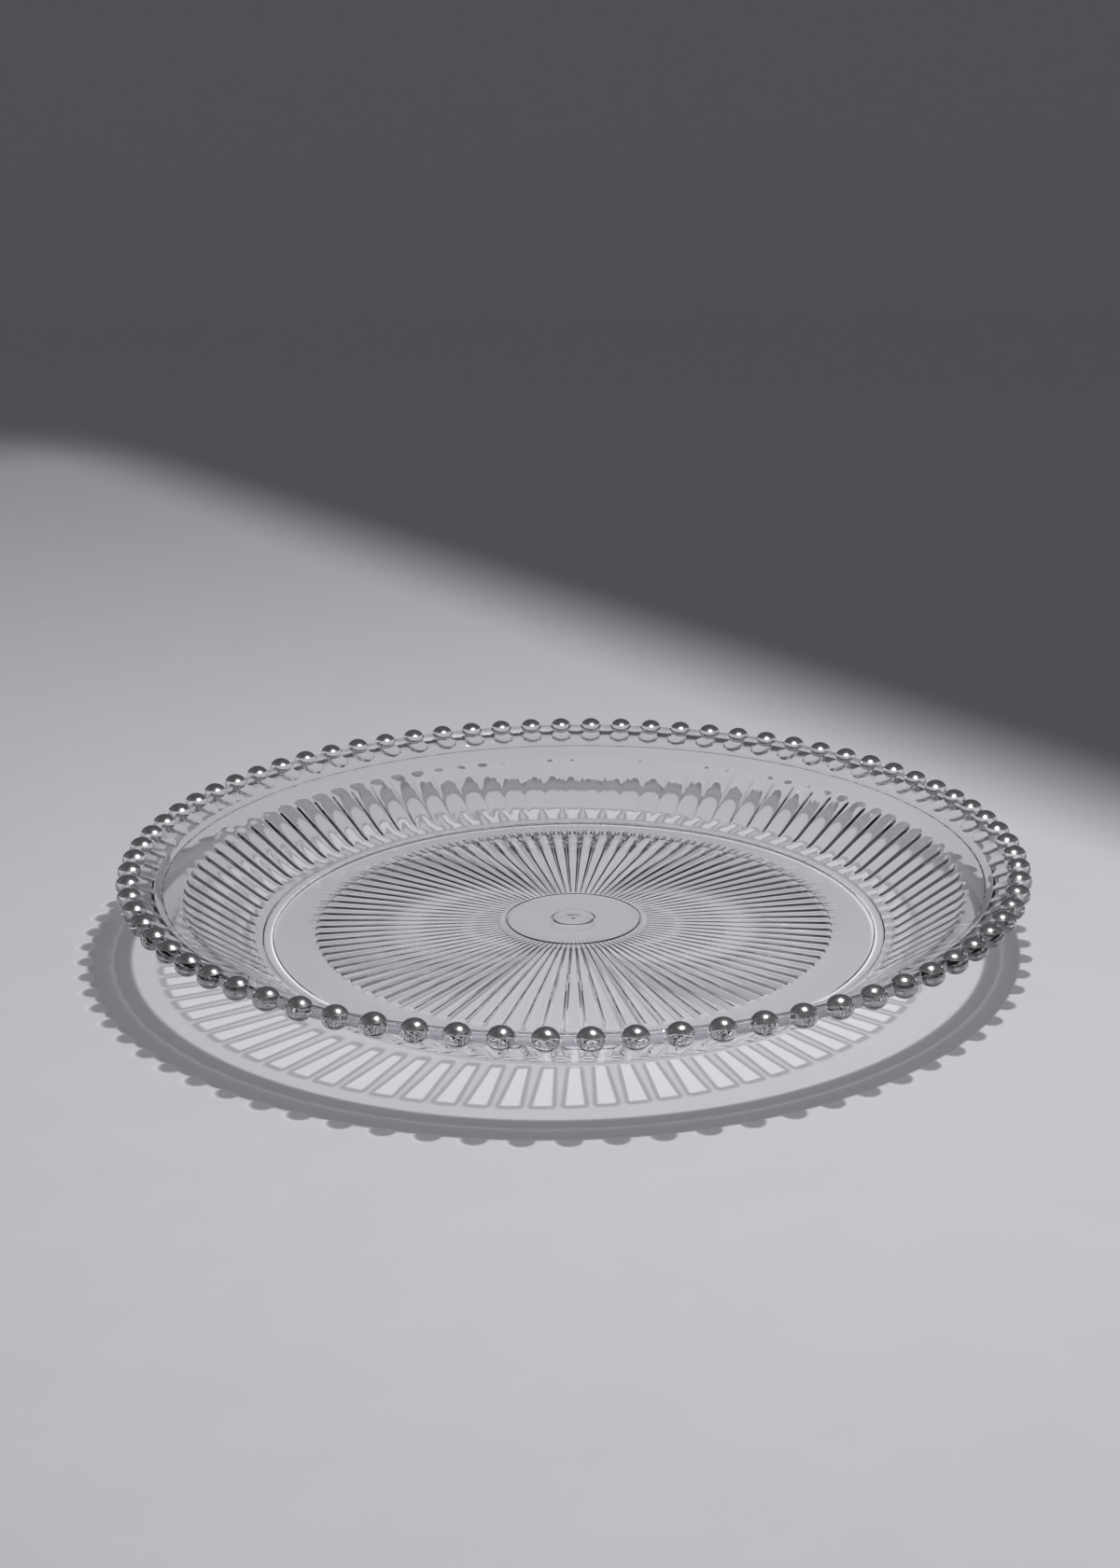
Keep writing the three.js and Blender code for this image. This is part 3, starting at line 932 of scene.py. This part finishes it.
# %% Geometry tree of the silver
coat_inputs = [
    ("Beads", "NodeSocketInt", BEAD_COUNT),
    ("Bead circle", "NodeSocketFloat", BEAD_CIRCLE * MM),
    ("Bead height", "NodeSocketFloat", BEAD_CENTRE * MM),
    ("Bead turn", "NodeSocketFloat", BEAD_TURN),
    ("Material", "NodeSocketMaterial", silver),
]
coat = bpy.data.node_groups.new("coat_beads", "GeometryNodeTree")
add_inputs(coat, coat_inputs)
given = add_node(coat, "NodeGroupInput").outputs
places = ring_of_points(
    coat, given["Beads"], given["Bead circle"], given["Bead height"], given["Bead turn"]
)
turned = turned_to_beads(coat, given["Beads"], given["Bead turn"])
patches = add_node(
    coat,
    "GeometryNodeInstanceOnPoints",
    {"Points": places, "Instance": given["Geometry"], "Rotation": turned},
).outputs[0]
patches = add_node(coat, "GeometryNodeRealizeInstances", {0: patches}).outputs[0]
patches = add_node(
    coat, "GeometryNodeSetMaterial", {"Geometry": patches, "Material": given["Material"]}
).outputs[0]
add_node(coat, "NodeGroupOutput", {0: patches})

patch_object = bpy.data.objects.new("one_patch", patch_mesh)
scene.collection.objects.link(patch_object)
coating = patch_object.modifiers.new("coat", "NODES")
coating.node_group = coat
set_inputs(coating, coat_inputs)
PATCH_CRISP_ANGLE = math.radians(50)
silver_caps = plain_mesh_object(patch_object, "silver_caps")
silver_caps.data.shade_smooth()
silver_caps.data.set_sharp_from_angle(angle=PATCH_CRISP_ANGLE)
silver_caps.visible_shadow = False
print("silver_caps:", len(silver_caps.data.polygons), "faces")

# %% [markdown]
# ## Tying the pieces to the frame
# The glass body stands for all eight solids, because glass must have no walls inside it. Both pieces
# ride on the one body that the part has.

# %% Ride and replace
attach(plate_glass, "root")
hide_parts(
    "centre_button",
    "centre_disc",
    "sunburst_panel",
    "well_ring",
    "foot_ring",
    "fluted_wall",
    "rim_flange",
    "bead_rim",
)
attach(silver_caps, "root")
print("pieces tied to the frame")

# %% [markdown]
# ## The floor
# The plate stands on a plain pale sweep: a flat floor that curves up into a backdrop far behind, so that
# no edge shows. It is matt, with a faint mottling.

# %% Floor
FLOOR_HALF = 6.0
SWEEP_START = 2.2
SWEEP_RADIUS = 1.5
SWEEP_STEPS = 12
MOTTLE_SCALE = 40.0
FLOOR_TONE = (0.70, 0.692, 0.735, 1.0)
FLOOR_MOTTLE = (0.74, 0.732, 0.775, 1.0)
floor_paint, tree, place, output = new_material("pale_matt_floor")
mottle = noise(tree, place, MOTTLE_SCALE, detail=5.0)
floor_tone = add_node(
    tree,
    "ShaderNodeMix",
    {0: mottle, 6: FLOOR_TONE, 7: FLOOR_MOTTLE},
    data_type="RGBA",
).outputs[2]
floor_shader = add_node(
    tree,
    "ShaderNodeBsdfPrincipled",
    {"Base Color": floor_tone, "Roughness": 0.75, "Specular IOR Level": 0.2},
)
tree.links.new(floor_shader.outputs["BSDF"], output.inputs["Surface"])

sweep_line = [(-FLOOR_HALF, 0.0), (SWEEP_START, 0.0)]
for i in range(1, SWEEP_STEPS + 1):
    angle = 0.5 * math.pi * i / SWEEP_STEPS
    sweep_line.append((SWEEP_START + SWEEP_RADIUS * math.sin(angle), SWEEP_RADIUS * (1 - math.cos(angle))))
sweep_line.append((SWEEP_START + SWEEP_RADIUS, 2.0 * FLOOR_HALF))
floor_points = [(side * FLOOR_HALF, y, z) for y, z in sweep_line for side in (-1, 1)]
floor_faces = [(2 * i, 2 * i + 1, 2 * i + 3, 2 * i + 2) for i in range(len(sweep_line) - 1)]
floor_mesh = bpy.data.meshes.new("floor")
floor_mesh.from_pydata(floor_points, [], floor_faces)
floor_mesh.shade_smooth()
floor_mesh.materials.append(floor_paint)
floor = bpy.data.objects.new("floor", floor_mesh)
scene.collection.objects.link(floor)
print("floor", 2 * FLOOR_HALF, "m wide")

# %% [markdown]
# ## Light
# One small lamp hangs over the front right of the plate. Its light stays even over the floor instead of
# falling off with distance, and its cone ends before the backdrop. A card beside it keeps its light off
# the back of the floor, which leaves a dark background for the glass to stand against.

# %% Lamp and card
LAMP_POWER = 7.1
LAMP_CONE = math.radians(146)
LAMP_BLEND = 0.1
LAMP_SIZE = 0.009
lamp_data = bpy.data.lights.new("lamp", "SPOT")
lamp_data.spot_size = LAMP_CONE
lamp_data.spot_blend = LAMP_BLEND
lamp_data.shadow_soft_size = LAMP_SIZE
lamp_data.energy = LAMP_POWER
lamp_data.use_nodes = True
lamp_tree = lamp_data.node_tree
even_light = add_node(lamp_tree, "ShaderNodeLightFalloff", {"Strength": 1 / LAMP_PLACE.length_squared})
lamp_tree.links.new(even_light.outputs["Constant"], lamp_tree.nodes["Emission"].inputs["Strength"])
lamp = bpy.data.objects.new("lamp", lamp_data)
lamp.location = LAMP_PLACE
scene.collection.objects.link(lamp)

SHADE_NORMAL = Vector((0.836, 0.548, 0.0))
SHADE_DISTANCE = 0.27
CARD_HEIGHT = 0.42
CARD_REACH, CARD_SIDE = 9.0, 4.0


def under_lamp(spot):
    """Point of the card's level on the line from the lamp to a spot on the floor."""
    share = (LAMP_PLACE.z - CARD_HEIGHT) / LAMP_PLACE.z
    return LAMP_PLACE + (spot - LAMP_PLACE) * share


along = Vector((-SHADE_NORMAL.y, SHADE_NORMAL.x, 0.0))
card_corners = [(SHADE_DISTANCE, -CARD_SIDE), (CARD_REACH, -CARD_SIDE), (CARD_REACH, CARD_SIDE)]
card_corners.append((SHADE_DISTANCE, CARD_SIDE))
edge_spots = [SHADE_NORMAL * reach + along * slide for reach, slide in card_corners]
card_mesh = bpy.data.meshes.new("light_card")
card_mesh.from_pydata([under_lamp(spot) for spot in edge_spots], [], [(0, 1, 2, 3)])
card_mesh.materials.append(floor_paint)
card = bpy.data.objects.new("light_card", card_mesh)
scene.collection.objects.link(card)
for kind in ("camera", "diffuse", "glossy", "transmission", "volume_scatter"):
    setattr(card, "visible_" + kind, False)
print("lamp at", tuple(round(v, 3) for v in LAMP_PLACE))

# %% [markdown]
# ## The room
# The rest of the room is dim. Silver and glass see it paler near the ground than overhead, as in a studio
# with a low bright table. Light is caught inside glass for many bounces before it gets out, and stopping
# it early makes the beads black, so the limits on bounces are raised.

# %% Room
PLAIN_ROOM = 0.12
MIRRORED_ROOM, MIRRORED_TOP = (0.26, 0.075), 0.9
ROOM_THROUGH_GLASS, THROUGH_TOP = (0.28, 0.04), 0.5
ROOM_TONE = (1.0, 1.0, 1.035, 1.0)
world = bpy.data.worlds.new("room")
world.use_nodes = True
room = world.node_tree
direction = add_node(room, "ShaderNodeTexCoord").outputs["Generated"]
upward = add_node(room, "ShaderNodeSeparateXYZ", {0: direction}).outputs[2]
mirrored = spread(room, upward, 0.0, MIRRORED_TOP, *MIRRORED_ROOM)
through = spread(room, upward, 0.0, THROUGH_TOP, *ROOM_THROUGH_GLASS)
rays = add_node(room, "ShaderNodeLightPath").outputs
shiny = add_node(
    room, "ShaderNodeMix", {0: rays["Is Transmission Ray"], 2: mirrored, 3: through}
).outputs[0]
seen_as = add_node(room, "ShaderNodeMix", {0: rays["Is Glossy Ray"], 2: PLAIN_ROOM, 3: shiny}).outputs[0]
room.nodes["Background"].inputs["Color"].default_value = ROOM_TONE
room.links.new(seen_as, room.nodes["Background"].inputs["Strength"])
scene.cycles.max_bounces = 24
scene.cycles.glossy_bounces = 8
scene.cycles.transmission_bounces = 16
scene.world = world
scene.view_settings.view_transform = "Standard"
print("room ready,", scene.cycles.max_bounces, "bounces at most")
